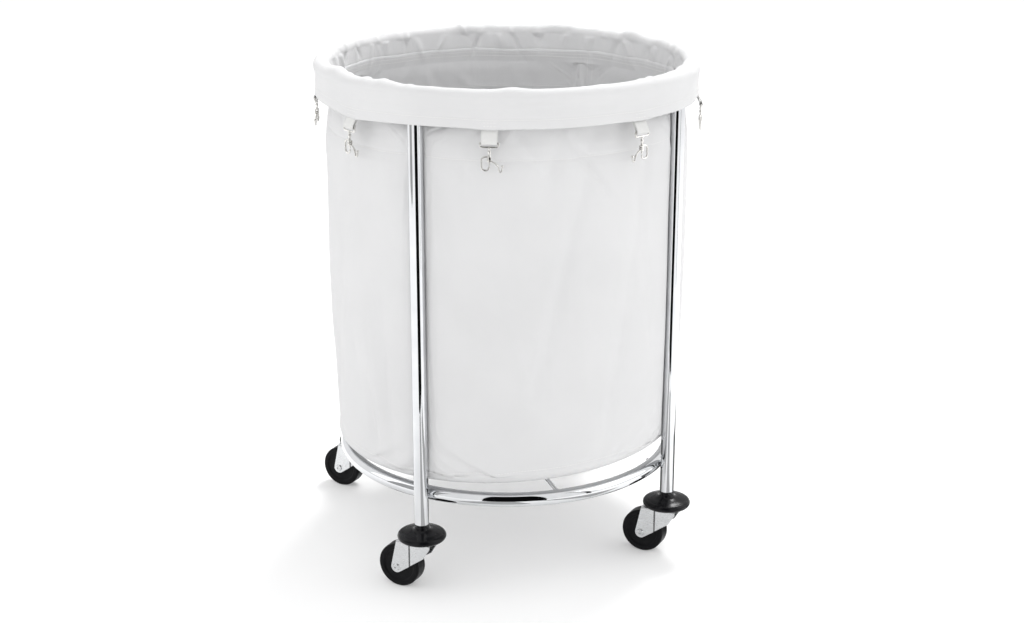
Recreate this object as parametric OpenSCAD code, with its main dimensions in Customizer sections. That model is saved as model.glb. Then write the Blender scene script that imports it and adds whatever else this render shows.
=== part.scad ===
// Round laundry hamper on wheels: a chromed tube frame on four swivel casters
// carries a canvas bag that hangs from the top ring.
// Millimetres. +Z is up and the origin is on the floor at the frame's axis.
// The front post stands on -Y, the right post on +X, and so on round.

/* [Frame] */
// Outer diameter of the frame tubes
tube_d = 19; // [16:0.5:22]
// Wall of the frame tubes
tube_wall = 1.3; // [1:0.1:2]
// Distance of the post axes from the frame's axis
post_circle_r = 246; // [230:1:260]
// Height of the top ring's centre line
top_ring_z = 665; // [560:5:760]
// Height of the lower ring's centre line
bottom_ring_z = 131; // [126:1:134]
// Height of the posts' lower ends
post_foot_z = 90; // [88:1:92]
// Diameter of the cross rods under the bag
rod_d = 5; // [4:0.5:6]

/* [Casters] */
// Diameter of the wheels
wheel_d = 60; // [56:1:62]
// Width of the wheels' treads
wheel_w = 21; // [18:1:22]
// Horizontal distance from the swivel axis back to the axle
trail = 31; // [29:0.5:33]
// Diameter of the bumper discs
bumper_d = 64.5; // [56:0.5:70]
// Thickness of the yokes' sheet steel
sheet = 2; // [1.5:0.1:2.2]

/* [Bag] */
// Radius of the bag wall's outer face
bag_r = 234.6; // [233:0.1:234.6]
// Height of the bag's bottom
bag_floor_z = 156; // [150:1:170]
// Thickness of the canvas
canvas = 1.5; // [1:0.1:1.5]
// Outer radius of the roll of canvas round the top ring
roll_r = 12.5; // [12:0.1:14]
// Height of the cuff's lower edge
cuff_edge_z = 629; // [615:1:640]

/* [Snap hooks] */
// Number of hooks round the cuff
hook_count = 8; // [8:8]
// Width of a webbing tab
tab_w = 20; // [16:0.5:21]
// Height of the bars that the hooks swing on
bar_z = 613.6; // [610:0.1:616]
// Diameter of the hooks' wire
wire_d = 2.4; // [2:0.1:2.6]

/* [Hidden] */
$fn = 96;
eps = 0.01;
fit = 0.05;   // radial clearance of a pin that turns in its bore
gap = 0.3;    // space between curved faces that pass each other

sides = ["front", "right", "back", "left"];

tube_r = tube_d / 2;
tube_inner_r = tube_r - tube_wall;

// The lower ring runs round inside the posts and just clears them.
bottom_ring_r = post_circle_r - tube_d - 0.2;
bolt_r = 2.5;
bolt_hole_r = bolt_r + 0.25;
bolt_head_r = 4.5;
bolt_head_h = 2.4;
bolt_head_edge_r = bolt_head_r - 1.2;
nut_r = 4.2;
nut_l = 5;
nut_face_y = sqrt(pow(tube_inner_r, 2) - pow(nut_r, 2)) - 0.05;
hex_r = 1.5;  // socket for the key in bolts and screws
hex_h = 1.2;
plug_top_z = top_ring_z - tube_r - 1;
plug_h = 14;
screw_foot_z = plug_top_z - plug_h + 2;
csk_r = 4.6;  // countersunk head of a top screw
csk_top_z = top_ring_z + tube_r - 1.5;  // flush with the tube all round

// Caster heights, from the floor up
wheel_r = wheel_d / 2;
plate_top_z = 68.5;
race_top_z = 72;
bumper_edge_r = 4.7;
bumper_edge_z = race_top_z + bumper_edge_r;
bumper_top_z = race_top_z + 2 * bumper_edge_r;
bumper_neck_r = 9.7;
bumper_dome_w = 4;  // the dome's steeper part, next to the neck
bumper_dome_h = 3.2;
stem_r = 5;
stem_top_z = 124;
stem_tip_h = 1;
stem_head_r = 8;
stem_head_h = 4.5;
race_r = 15;
race_edge = 1.5;
socket_top_z = 126;

// Yoke outline, seen from the side and from above; +X is the leading end
leg_inner_y = 13.5;
leg_outer_y = leg_inner_y + sheet;
leg_end_r = 8;
crease_x = -11;
leg_front_x = 17;
leg_front_inner_y = 9.6;
leg_front_h = 6;  // upright front edge of a leg, below the plate
leg_belly = [8, 48];  // where a leg's lower edge bends upwards
plate_rear_x = -31.4;
plate_front_r = 19;
axle_r = 4;
axle_head_r = 5.2;
axle_head_h = 1.8;
axle_head_slope = 1;
dimple_r = 2.5;
dimple_h = 1;
hub_r = 9;
hub_half_w = 12.9;
bush_r = 5.5;
bush_half_w = 13.3;
tread_edge_r = 3;

// Cuff: it hangs outside the posts and is sewn to the bag wall inside them
roll_inner_r = tube_r + gap + 0.1;
seam_top_z = 650;
cuff_seam_z = 636;

// Hooks: each hangs from a bar in its tab's fold. Hook heights are counted
// from the bar; u runs along the cuff and is positive to the right from outside.
wire_r = wire_d / 2;
fold_r = 2.75;
bar_circle_r = post_circle_r + roll_inner_r + fold_r;
eye_half_w = tab_w / 2 + gap / 2 + wire_d / 2;
eye_drop = 5.2;
eye_corner = [2, 1.4];  // how far each lower corner of the eye is cut off
stem_end = -17.3;
pivot_drop = -21.5;
hub_d = 4.4;
ear_w = 4.2;
ear_end_r = 2.5;
ear_in = 1.5;
ear_out = 2.5;
flat_extra = 0.4;  // how much wider the eye and the ears' root are than the wire
pin_r = 0.8;
pin_proud = 0.2;
throat_r = 4.75;
throat_drop = -29.5;
gate_r = 1;
gate_end = throat_drop + wire_r + 0.4;
lever_root = [1.2, -22.1];
lever_bow = [[6, -24.6], [10.2, -28.4]];
lever_bend = [13.4, -32];  // centre of the bend at the lever's end
lever_bend_r = 2.1;
lever_tip = [15.8, -29];
knob_r = 1.7;
knob_w = 4;
trigger_w = 2 * (ear_in - 0.1);
hook_first_angle = 22.5;
hook_step = 360 / hook_count;
// Which way each hook's thumb lever points along the cuff
lever_side = [1, -1, 1, -1, 1, -1, 1, 1];

// ---------------------------------------------------------------- helpers

// Stand something at post k, turned so that -Y still points away from the axis
module at_post(k) {
    rotate([0, 0, 90 * k]) translate([0, -post_circle_r, 0]) children();
}

// Stand something at post k without turning it: all casters trail the same way
module at_caster(k) {
    translate([post_circle_r * sin(90 * k), -post_circle_r * cos(90 * k), 0])
        children();
}

// Put something at hook i, with +X along the cuff and -Y away from the axis
module at_hook(i) {
    rotate([0, 0, hook_first_angle + hook_step * (i - 1)])
        translate([0, -bar_circle_r, bar_z]) children();
}

// A ring of round tube or bar
module torus(ring_r, r) {
    rotate_extrude($fn = 180) translate([ring_r, 0]) circle(r, $fn = 48);
}

// Flat metal of width w, centred on the hook's plane and drawn as [u, drop]
module plate(w) {
    rotate([90, 0, 0]) linear_extrude(w, center = true) children();
}

// Point where the line from p touches the circle round c, on side 1 or -1
function touch(p, c, r, side) =
    let (v = p - c, a = atan2(v[1], v[0]) + side * acos(r / norm(v)))
    c + r * [cos(a), sin(a)];

// ------------------------------------------------------------------ frame

module top_ring() color("silver") difference() {
    translate([0, 0, top_ring_z]) torus(post_circle_r, tube_r);
    translate([0, 0, top_ring_z]) torus(post_circle_r, tube_inner_r);
    for (k = [0 : 3]) at_post(k) {
        translate([0, 0, top_ring_z - tube_d]) cylinder(r = bolt_hole_r, h = 2 * tube_d);
        translate([0, 0, csk_top_z - csk_r]) cylinder(r1 = 0, r2 = 2 * csk_r, h = 2 * csk_r);
    }
}

module bottom_ring() color("silver") difference() {
    translate([0, 0, bottom_ring_z]) torus(bottom_ring_r, tube_r);
    translate([0, 0, bottom_ring_z]) torus(bottom_ring_r, tube_inner_r);
    for (k = [0 : 3]) at_post(k)
        translate([0, 0, bottom_ring_z]) rotate([-90, 0, 0])
            cylinder(r = bolt_hole_r, h = 2 * tube_d);
}

// One of the two wire rods that cross under the bag; the ends are shaped to
// the ring that they are welded to
module cross_rod(angle, z) color("silver") difference() {
    rotate([0, 0, angle]) translate([0, 0, z]) rotate([0, 90, 0])
        cylinder(d = rod_d, h = 2 * bottom_ring_r, center = true);
    translate([0, 0, bottom_ring_z]) torus(bottom_ring_r, tube_r);
}

module ring_bolts() color("gray") for (k = [0 : 3]) at_post(k)
    translate([0, post_circle_r - bottom_ring_r + tube_r, bottom_ring_z])
        rotate([90, 0, 0]) {
            cylinder(r = bolt_r, h = tube_d + tube_wall + nut_l);
            translate([0, 0, -bolt_head_h]) difference() {
                union() {
                    cylinder(r1 = bolt_head_edge_r, r2 = bolt_head_r, h = bolt_head_h / 2);
                    translate([0, 0, bolt_head_h / 2])
                        cylinder(r = bolt_head_r, h = bolt_head_h / 2);
                }
                translate([0, 0, -eps]) cylinder(r = hex_r, h = hex_h, $fn = 6);
            }
        }

module ring_nuts() color("gray") for (k = [0 : 3]) at_post(k)
    translate([0, nut_face_y, bottom_ring_z]) rotate([90, 0, 0])
        difference() {
            cylinder(r = nut_r, h = nut_l);
            translate([0, 0, -eps]) cylinder(r = bolt_r, h = nut_l + 2 * eps);
        }

module top_screws() color("gray") for (k = [0 : 3]) at_post(k) difference() {
    union() {
        translate([0, 0, screw_foot_z]) cylinder(r = bolt_r, h = csk_top_z - hex_h - screw_foot_z);
        translate([0, 0, csk_top_z - csk_r]) cylinder(r1 = 0, r2 = csk_r, h = csk_r);
    }
    translate([0, 0, csk_top_z - hex_h]) cylinder(r = hex_r, h = 2 * hex_h, $fn = 6);
}

module post_top_plugs() color("dimgray") for (k = [0 : 3]) at_post(k)
    difference() {
        translate([0, 0, plug_top_z - plug_h]) difference() {
            cylinder(r = tube_inner_r, h = plug_h);
            translate([0, 0, -eps]) cylinder(r = bolt_r, h = plug_h + 2 * eps);
        }
        translate([0, post_circle_r, top_ring_z]) torus(post_circle_r, tube_r);
    }

module post(k) color("silver") difference() {
    at_post(k) difference() {
        translate([0, 0, post_foot_z]) cylinder(r = tube_r, h = top_ring_z - post_foot_z);
        translate([0, 0, post_foot_z - 1])
            cylinder(r = tube_inner_r, h = top_ring_z - post_foot_z + 2);
        translate([0, 0, bottom_ring_z]) rotate([-90, 0, 0])
            cylinder(r = bolt_hole_r, h = 2 * tube_r);
    }
    translate([0, 0, top_ring_z]) torus(post_circle_r, tube_r);
}

// ---------------------------------------------------------------- casters

// Plastic sleeves in the posts' feet that the caster stems are pushed into
module stem_sockets() color("dimgray") for (k = [0 : 3]) at_caster(k)
    translate([0, 0, post_foot_z]) difference() {
        cylinder(r = tube_inner_r, h = socket_top_z - post_foot_z);
        translate([0, 0, -1]) cylinder(r = stem_r, h = socket_top_z - post_foot_z + 2);
    }

// Pressed cups that hold the swivel balls, between the yokes and the bumpers
module swivel_races() color("gainsboro") for (k = [0 : 3]) at_caster(k)
    translate([0, 0, plate_top_z + gap]) difference() {
        union() {
            cylinder(r1 = race_r - race_edge, r2 = race_r, h = race_edge);
            translate([0, 0, race_edge])
                cylinder(r = race_r, h = race_top_z - plate_top_z - gap - race_edge);
        }
        translate([0, 0, -1]) cylinder(r = stem_r, h = race_top_z);
    }

module bumper(k) color("#222222") at_caster(k) difference() {
    rotate_extrude() {
        edge_r = bumper_d / 2 - bumper_edge_r;
        translate([edge_r, bumper_edge_z]) circle(bumper_edge_r, $fn = 48);
        translate([0, race_top_z]) square([edge_r, 2 * bumper_edge_r]);
        translate([0, race_top_z]) square([bumper_neck_r, post_foot_z - race_top_z]);
        polygon([[0, bumper_top_z], [edge_r, bumper_top_z],
                 [bumper_neck_r + bumper_dome_w, bumper_top_z + bumper_dome_h / 2],
                 [bumper_neck_r, bumper_top_z + bumper_dome_h], [0, bumper_top_z + bumper_dome_h]]);
    }
    translate([0, 0, race_top_z - 1]) cylinder(r = stem_r, h = post_foot_z);
}

module stem(k) color("gainsboro") at_caster(k) {
    translate([0, 0, plate_top_z - sheet - gap - stem_head_h])
        cylinder(r = stem_head_r, h = stem_head_h);
    translate([0, 0, plate_top_z - sheet - gap - eps])
        cylinder(r = stem_r, h = stem_top_z - stem_tip_h - plate_top_z + sheet + gap);
    translate([0, 0, stem_top_z - stem_tip_h - 2 * eps])
        cylinder(r1 = stem_r, r2 = stem_r - stem_tip_h, h = stem_tip_h);
}

// Side view of a leg: [x, z]
module leg_profile() {
    rear_top = [plate_rear_x, plate_top_z];
    axle = [-trail, wheel_r];
    polygon([rear_top, touch(rear_top, axle, leg_end_r, 1), axle,
             touch(leg_belly, axle, leg_end_r, -1), leg_belly,
             [leg_front_x, plate_top_z - leg_front_h], [leg_front_x, plate_top_z]]);
    translate(axle) circle(leg_end_r);
}

// Plan of one leg: straight beside the wheel, drawn in towards the front
module leg_plan() {
    rear_x = -trail - leg_end_r;
    polygon([[rear_x, leg_inner_y], [crease_x, leg_inner_y], [leg_front_x, leg_front_inner_y],
             [leg_front_x, leg_front_inner_y + sheet], [crease_x, leg_outer_y],
             [rear_x, leg_outer_y]]);
}

module plate_plan() {
    front_y = leg_front_inner_y + sheet;
    polygon([[plate_rear_x, -leg_outer_y], [crease_x, -leg_outer_y], [leg_front_x, -front_y],
             [leg_front_x, front_y], [crease_x, leg_outer_y], [plate_rear_x, leg_outer_y]]);
    intersection() {
        circle(plate_front_r);
        translate([0, -front_y]) square([plate_front_r, 2 * front_y]);
    }
}

module yoke(k) color("gainsboro") at_caster(k) difference() {
    union() {
        intersection() {
            linear_extrude(plate_top_z) for (m = [0, 1]) mirror([0, m]) leg_plan();
            rotate([90, 0, 0]) linear_extrude(4 * leg_outer_y, center = true) leg_profile();
        }
        translate([0, 0, plate_top_z - sheet]) linear_extrude(sheet) plate_plan();
    }
    cylinder(r = stem_r + fit, h = plate_top_z + 1);
    translate([-trail, 0, wheel_r]) rotate([90, 0, 0])
        cylinder(r = axle_r, h = 4 * leg_outer_y, center = true);
}

// Rivet through both legs, with a dimple in each head
module axle(k) color("gainsboro") at_caster(k)
    translate([-trail, 0, wheel_r]) rotate([90, 0, 0]) difference() {
        union() {
            cylinder(r = axle_r, h = 2 * leg_outer_y + 2 * eps, center = true);
            for (m = [0, 1]) mirror([0, 0, m]) translate([0, 0, leg_outer_y])
                cylinder(r1 = axle_head_r, r2 = axle_head_r - axle_head_slope, h = axle_head_h);
        }
        for (m = [0, 1]) mirror([0, 0, m])
            translate([0, 0, leg_outer_y + axle_head_h - dimple_h])
                cylinder(r1 = dimple_r / 2, r2 = dimple_r, h = dimple_h + eps);
    }

module wheel(k) color("#1c1c1c") at_caster(k)
    translate([-trail, 0, wheel_r]) rotate([90, 0, 0]) rotate_extrude() {
        flat_r = wheel_r - tread_edge_r;
        flat_w = wheel_w / 2 - tread_edge_r;
        translate([bush_r, -hub_half_w]) square([hub_r - bush_r, 2 * hub_half_w]);
        translate([bush_r, -wheel_w / 2]) square([flat_r - bush_r, wheel_w]);
        translate([flat_r, -flat_w]) square([tread_edge_r, 2 * flat_w]);
        for (s = [-1, 1]) translate([flat_r, s * flat_w]) circle(tread_edge_r, $fn = 48);
    }

module wheel_bush(k) color("white") at_caster(k)
    translate([-trail, 0, wheel_r]) rotate([90, 0, 0]) difference() {
        cylinder(r = bush_r, h = 2 * bush_half_w, center = true);
        cylinder(r = axle_r + fit, h = 4 * bush_half_w, center = true);
    }

// -------------------------------------------------------------------- bag

module bag_body() color("whitesmoke") translate([0, 0, bag_floor_z])
    rotate_extrude($fn = 180) translate([bag_r - canvas, 0])
        square([canvas, seam_top_z - bag_floor_z]);

module bag_floor() color("whitesmoke") translate([0, 0, bag_floor_z])
    cylinder(r = bag_r - canvas, h = canvas, $fn = 180);

// The roll over the top ring, the skirt outside the posts and the strip that
// is sewn to the bag wall inside them
module bag_cuff() color("white") rotate_extrude($fn = 180) {
    translate([post_circle_r, top_ring_z]) difference() {
        circle(roll_r);
        circle(roll_inner_r);
        translate([-roll_r - 1, -2 * roll_r]) square([2 * roll_r + 2, 2 * roll_r]);
    }
    translate([post_circle_r + roll_inner_r, cuff_edge_z])
        square([canvas, top_ring_z - cuff_edge_z + eps]);
    translate([bag_r, cuff_seam_z])
        square([post_circle_r - roll_inner_r - bag_r, top_ring_z - cuff_seam_z + eps]);
}

// Webbing loops sewn into the cuff's edge; each fold holds a hook's bar
module webbing_tabs() color("whitesmoke") for (i = [1 : hook_count]) at_hook(i)
    rotate([90, 0, 90]) linear_extrude(tab_w, center = true) difference() {
        union() {
            circle(fold_r);
            square([fold_r, cuff_edge_z - bar_z]);
        }
        circle(wire_r + fit);
    }

// ------------------------------------------------------------------ hooks

// The thumb lever slopes away from the pivot, turns down and curls up again
function lever_points() = concat(
    [lever_root],
    lever_bow,
    [for (a = [180 : 30 : 360]) lever_bend + lever_bend_r * [cos(a), sin(a)]],
    [lever_tip]
);

// The hook itself: from the stem to one side, down and round the throat
function throat_points() = concat(
    [[0, -eye_drop], [0, stem_end], [-2 * throat_r, stem_end]],
    [for (a = [180 : 15 : 360]) [-throat_r, throat_drop] + throat_r * [cos(a), sin(a)]],
    [[0, throat_drop + 1]]
);

// The eye's two sides and its foot, round the lower end of the webbing tab
function eye_points() = [
    [-eye_half_w, wire_r + 0.3],
    [-eye_half_w, eye_corner[1] - eye_drop],
    [-eye_half_w + eye_corner[0], -eye_drop],
    [eye_half_w - eye_corner[0], -eye_drop],
    [eye_half_w, eye_corner[1] - eye_drop],
    [eye_half_w, wire_r + 0.3]
];

// Outline of a strip of half width w along a line of points, with mitred bends
function ribbon(points, w) =
    let (last = len(points) - 1,
         n = [for (i = [1 : last]) let (v = points[i] - points[i - 1]) [-v[1], v[0]] / norm(v)],
         side = [for (i = [0 : last])
             let (a = n[max(i - 1, 0)], b = n[min(i, last - 1)]) w * (a + b) / (1 + a * b)])
    concat([for (i = [0 : last]) points[i] + side[i]],
           [for (i = [last : -1 : 0]) points[i] - side[i]]);

// Eye with its round bar, then the stem, the hook, and two ears that hold the
// trigger's pin. The hook curls away from the thumb lever.
module hook(i) color("lightgray") at_hook(i) face_side(lever_side[i - 1]) {
    rotate([0, 90, 0]) cylinder(r = wire_r, h = 2 * eye_half_w, center = true);
    plate(wire_d + flat_extra) polygon(ribbon(eye_points(), wire_r));
    plate(wire_d) polygon(ribbon(throat_points(), wire_r));
    translate([0, 0, stem_end]) cube([ear_w, 2 * ear_out, wire_d + flat_extra], center = true);
    for (s = [-1, 1]) translate([0, s * (ear_in + ear_out) / 2, 0]) {
        plate(ear_out - ear_in) translate([0, pivot_drop]) circle(ear_end_r);
        plate(ear_out - ear_in) translate([-ear_w / 2, pivot_drop])
            square([ear_w, stem_end - pivot_drop]);
    }
    translate([0, 0, pivot_drop]) rotate([90, 0, 0])
        cylinder(r = pin_r, h = 2 * ear_out + 2 * pin_proud, center = true);
}

// Sprung gate and thumb lever in one flat piece, turning on the hook's pin
module trigger(i) color("lightgray") at_hook(i) face_side(lever_side[i - 1]) difference() {
    union() {
        plate(trigger_w) translate([0, pivot_drop]) circle(hub_d / 2);
        plate(trigger_w) translate([-gate_r, gate_end])
            square([2 * gate_r, pivot_drop - gate_end]);
        plate(trigger_w) polygon(ribbon(lever_points(), gate_r));
        plate(knob_w) translate(lever_tip) circle(knob_r);
    }
    plate(2 * trigger_w) translate([0, pivot_drop]) circle(pin_r + fit);
}

// Turn a hook round in its tab so that its lever points to the other side
module face_side(side) {
    rotate([0, 0, side > 0 ? 0 : 180]) children();
}

// --------------------------------------------------------------- assembly

top_ring();
bottom_ring();
cross_rod(45, bottom_ring_z - rod_d / 2 - 0.05);  // cross_rod_lower
cross_rod(-45, bottom_ring_z + rod_d / 2 + 0.05);  // cross_rod_upper
ring_bolts();
ring_nuts();
top_screws();
post_top_plugs();
stem_sockets();
swivel_races();
for (k = [0 : 3]) {
    post(k);
    bumper(k);
    stem(k);
    yoke(k);
    axle(k);
    wheel(k);
    wheel_bush(k);
}
bag_body();
bag_floor();
bag_cuff();
webbing_tabs();
for (i = [1 : hook_count]) {
    hook(i);
    trigger(i);
}
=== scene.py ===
"""Looks for the round laundry hamper on wheels: a chromed tube frame on four casters
carries a canvas bag whose cuff is turned down over the top ring.

Lengths are metres in the CAD frame. An angle round the frame is counted from -Y
towards +X, so the front post stands at 0 and the right post at 90 degrees.
"""

import math

import bmesh
import bpy
import numpy as np
from mathutils import Matrix, Vector


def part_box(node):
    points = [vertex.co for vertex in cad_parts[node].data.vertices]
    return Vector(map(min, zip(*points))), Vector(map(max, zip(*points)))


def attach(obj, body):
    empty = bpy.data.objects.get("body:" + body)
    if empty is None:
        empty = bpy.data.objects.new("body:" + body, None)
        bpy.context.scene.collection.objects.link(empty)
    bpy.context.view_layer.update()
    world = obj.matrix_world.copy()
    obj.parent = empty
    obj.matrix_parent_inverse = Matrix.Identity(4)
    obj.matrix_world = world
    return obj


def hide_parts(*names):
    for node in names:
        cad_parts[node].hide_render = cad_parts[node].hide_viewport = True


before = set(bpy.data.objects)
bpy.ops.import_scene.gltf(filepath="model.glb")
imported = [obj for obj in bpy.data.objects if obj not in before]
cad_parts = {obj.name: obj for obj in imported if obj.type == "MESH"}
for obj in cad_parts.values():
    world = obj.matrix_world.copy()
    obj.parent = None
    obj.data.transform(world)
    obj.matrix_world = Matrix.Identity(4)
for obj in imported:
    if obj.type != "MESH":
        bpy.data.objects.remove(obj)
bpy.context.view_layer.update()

MM = 0.001
SIDES = ("front", "right", "back", "left")
HOOKS = 8


# ------------------------------------------------------------- sizes of the frame


def across(node, axis):
    """Extent of a CAD node along an axis."""
    low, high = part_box(node)
    return high[axis] - low[axis]


def middle(node, axis):
    """Middle of a CAD node along an axis."""
    low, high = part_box(node)
    return (high[axis] + low[axis]) / 2


TUBE_R = across("top_ring", 2) / 2
TUBE_WALL = 1.3 * MM
RING_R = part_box("top_ring")[1].x - TUBE_R
RING_Z = middle("top_ring", 2)
LOW_RING_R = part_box("bottom_ring")[1].x - TUBE_R
LOW_RING_Z = middle("bottom_ring", 2)
ROD_R = across("cross_rod_lower", 2) / 2
POST_FOOT_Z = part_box("post_front")[0].z
BAG_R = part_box("bag_body")[1].x
BAG_LOW_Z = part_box("bag_body")[0].z
CUFF_EDGE_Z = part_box("bag_cuff")[0].z
BUMPER_LOW_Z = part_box("bumper_front")[0].z
BUMPER_R = across("bumper_front", 0) / 2
WHEEL_R = across("wheel_front", 2) / 2
WHEEL_X = middle("wheel_front", 0)
HUB_HALF = across("wheel_front", 1) / 2
PLATE_TOP_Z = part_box("yoke_front")[1].z
YOKE_HALF = across("yoke_front", 1) / 2
YOKE_NOSE_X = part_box("yoke_front")[1].x
SHEET = 2 * MM
CREASE_X = -11 * MM


def post_place(k):
    """Centre of post k on the floor."""
    a = math.radians(90 * k)
    return np.array([RING_R * math.sin(a), -RING_R * math.cos(a), 0.0])


# ------------------------------------------------------------------ mesh helpers


def grid(rows, cols, wrap=True, close=False):
    """Quads over rows x cols points. wrap joins the last column to the first, close
    joins the last row to the first. The last column of a wrapped grid is repeated."""
    faces, corners = [], []
    for r in range(rows if close else rows - 1):
        for c in range(cols if wrap else cols - 1):
            r2, c2 = (r + 1) % rows, (c + 1) % cols
            faces.append((r * cols + c, r * cols + c2, r2 * cols + c2, r2 * cols + c))
            corners.append(((r, c), (r, c + 1), (r + 1, c + 1), (r + 1, c)))
    return faces, corners


def linked(name, data):
    """An object for a mesh, a light or a camera, placed in the scene."""
    obj = bpy.data.objects.new(name, data)
    bpy.context.scene.collection.objects.link(obj)
    return obj


def piece(name, verts, faces, body, material, slot, uvs=None):
    """A mesh object in the CAD frame that rides on a body and has a material slot. The slot
    argument is not used.
    """
    mesh = bpy.data.meshes.new(name)
    mesh.from_pydata([tuple(v) for v in np.asarray(verts, float)], [], faces)
    if uvs is not None:
        layer = mesh.uv_layers.new(name="cloth")
        layer.data.foreach_set("uv", np.asarray(uvs, float).ravel())
    mesh.polygons.foreach_set("use_smooth", [True] * len(mesh.polygons))
    mesh.update()
    mesh.materials.append(material)
    obj = linked(name, mesh)
    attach(obj, body)
    return obj


def joined(parts):
    """One vertex array and face list from several (verts, faces)."""
    verts, faces, start = [], [], 0
    for v, f in parts:
        verts.append(np.asarray(v, float))
        faces += [tuple(i + start for i in face) for face in f]
        start += len(v)
    return np.concatenate(verts), faces


def turned(part, matrix):
    """A (verts, faces) part moved by a 4 x 4 matrix."""
    m = np.array(matrix)
    v = np.asarray(part[0], float)
    return v @ m[:3, :3].T + m[:3, 3], part[1]


def spin_z(angle, radius=0.0, height=0.0):
    """Out to a radius on -Y, then round the frame's axis by an angle in degrees."""
    return (Matrix.Rotation(math.radians(angle), 4, "Z")
            @ Matrix.Translation((0, -radius, height)))


def lathe(profile, segments, closed=True):
    """A body of revolution about Z from (radius, height) points. A profile that isn't
    closed gets a flat cap at each end."""
    profile = np.asarray(profile, float)
    a = np.linspace(0, 2 * np.pi, segments, endpoint=False)
    ring = np.stack([np.sin(a), -np.cos(a)], 1)
    verts = [[r * x, r * y, z] for r, z in profile for x, y in ring]
    faces, _ = grid(len(profile), segments, close=closed)
    if not closed:
        faces = faces + [tuple(range(segments))[::-1],
                         tuple(range((len(profile) - 1) * segments, len(profile) * segments))]
    return np.array(verts), [f[::-1] for f in faces]


def smooth_path(points, steps=6, closed=False):
    """Catmull-Rom curve through the points."""
    p = np.asarray(points, float)
    n = len(p)
    out = []
    for i in range(n if closed else n - 1):
        if closed:
            a, b, c, d = (p[(i + k) % n] for k in (-1, 0, 1, 2))
        else:
            a, b, c, d = p[max(i - 1, 0)], p[i], p[i + 1], p[min(i + 2, n - 1)]
        for t in np.linspace(0, 1, steps, endpoint=False):
            out.append(0.5 * (2 * b + (c - a) * t + (2 * a - 5 * b + 4 * c - d) * t ** 2
                              + (3 * b - a - 3 * c + d) * t ** 3))
    if not closed:
        out.append(p[-1])
    return np.array(out)


def sweep(path, radii, sides, closed=False, flat=1.0):
    """A wire along a path that lies in an XZ plane. flat widens its section along Y."""
    path = np.asarray(path, float)
    n = len(path)
    radii = np.broadcast_to(radii, n)
    side = np.array([0.0, 1.0, 0.0])
    verts = []
    for i in range(n):
        ahead = path[(i + 1) % n] if closed or i < n - 1 else path[i]
        back = path[i - 1] if closed or i > 0 else path[i]
        t = (ahead - back) / np.linalg.norm(ahead - back)
        up = np.cross(t, side)
        for k in range(sides):
            a = 2 * np.pi * k / sides
            verts.append(path[i] + radii[i] * (flat * np.cos(a) * side + np.sin(a) * up))
    faces, _ = grid(n, sides, close=closed)
    if not closed:
        faces = faces + [tuple(range(sides))[::-1], tuple(range((n - 1) * sides, n * sides))]
    return np.array(verts), faces


def round_tip(path, radius, steps=5):
    """A path with a rounded end added at both ends, and the radius at each point."""
    path = np.asarray(path, float)
    turn = np.linspace(0, np.pi / 2, steps, endpoint=False)
    first = path[0] - path[1]
    first = first / np.linalg.norm(first)
    last = path[-1] - path[-2]
    last = last / np.linalg.norm(last)
    head = [path[0] + first * radius * np.cos(t) for t in turn]
    tail = [path[-1] + last * radius * np.cos(t) for t in turn][::-1]
    ends = [radius * max(np.sin(t), 0.08) for t in turn]
    return (np.concatenate([head, path, tail]),
            np.concatenate([ends, np.full(len(path), radius), ends[::-1]]))


def slab(outline, low, high, bevel):
    """A flat piece from an outline of [x, z] points, between two depths along Y, with its
    edges chamfered."""
    o = np.asarray(outline, float)
    before, after = np.roll(o, 1, 0), np.roll(o, -1, 0)
    t = after - before
    normal = np.stack([t[:, 1], -t[:, 0]], 1) / np.linalg.norm(t, axis=1)[:, None]
    area = np.sum(o[:, 0] * after[:, 1] - after[:, 0] * o[:, 1])
    inner = o - normal * bevel * np.sign(area)
    rings = [(inner, low), (o, low + bevel), (o, high - bevel), (inner, high)]
    n = len(o)
    verts = []
    for ring, depth in rings:
        for u, v in ring:
            verts.append([u, depth, v])
    faces, _ = grid(4, n)
    faces = faces + [tuple(range(n))[::-1], tuple(range(3 * n, 4 * n))]
    return np.array(verts), faces


def thicken(obj, thickness, even=False, soft_edge=0.0):
    """Give a surface a thickness, half to each side, and round its edges over."""
    sheet = obj.modifiers.new("thickness", "SOLIDIFY")
    sheet.thickness = thickness
    sheet.offset = 0
    sheet.use_even_offset = even
    if soft_edge:
        bevel = obj.modifiers.new("edges", "BEVEL")
        bevel.width = soft_edge
        bevel.segments = 2
        bevel.limit_method = "ANGLE"
        bevel.angle_limit = math.radians(50)
    graph = bpy.context.evaluated_depsgraph_get()
    mesh = bpy.data.meshes.new_from_object(obj.evaluated_get(graph))
    obj.modifiers.clear()
    obj.data = mesh


# --------------------------------------------------------------------- materials


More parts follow.
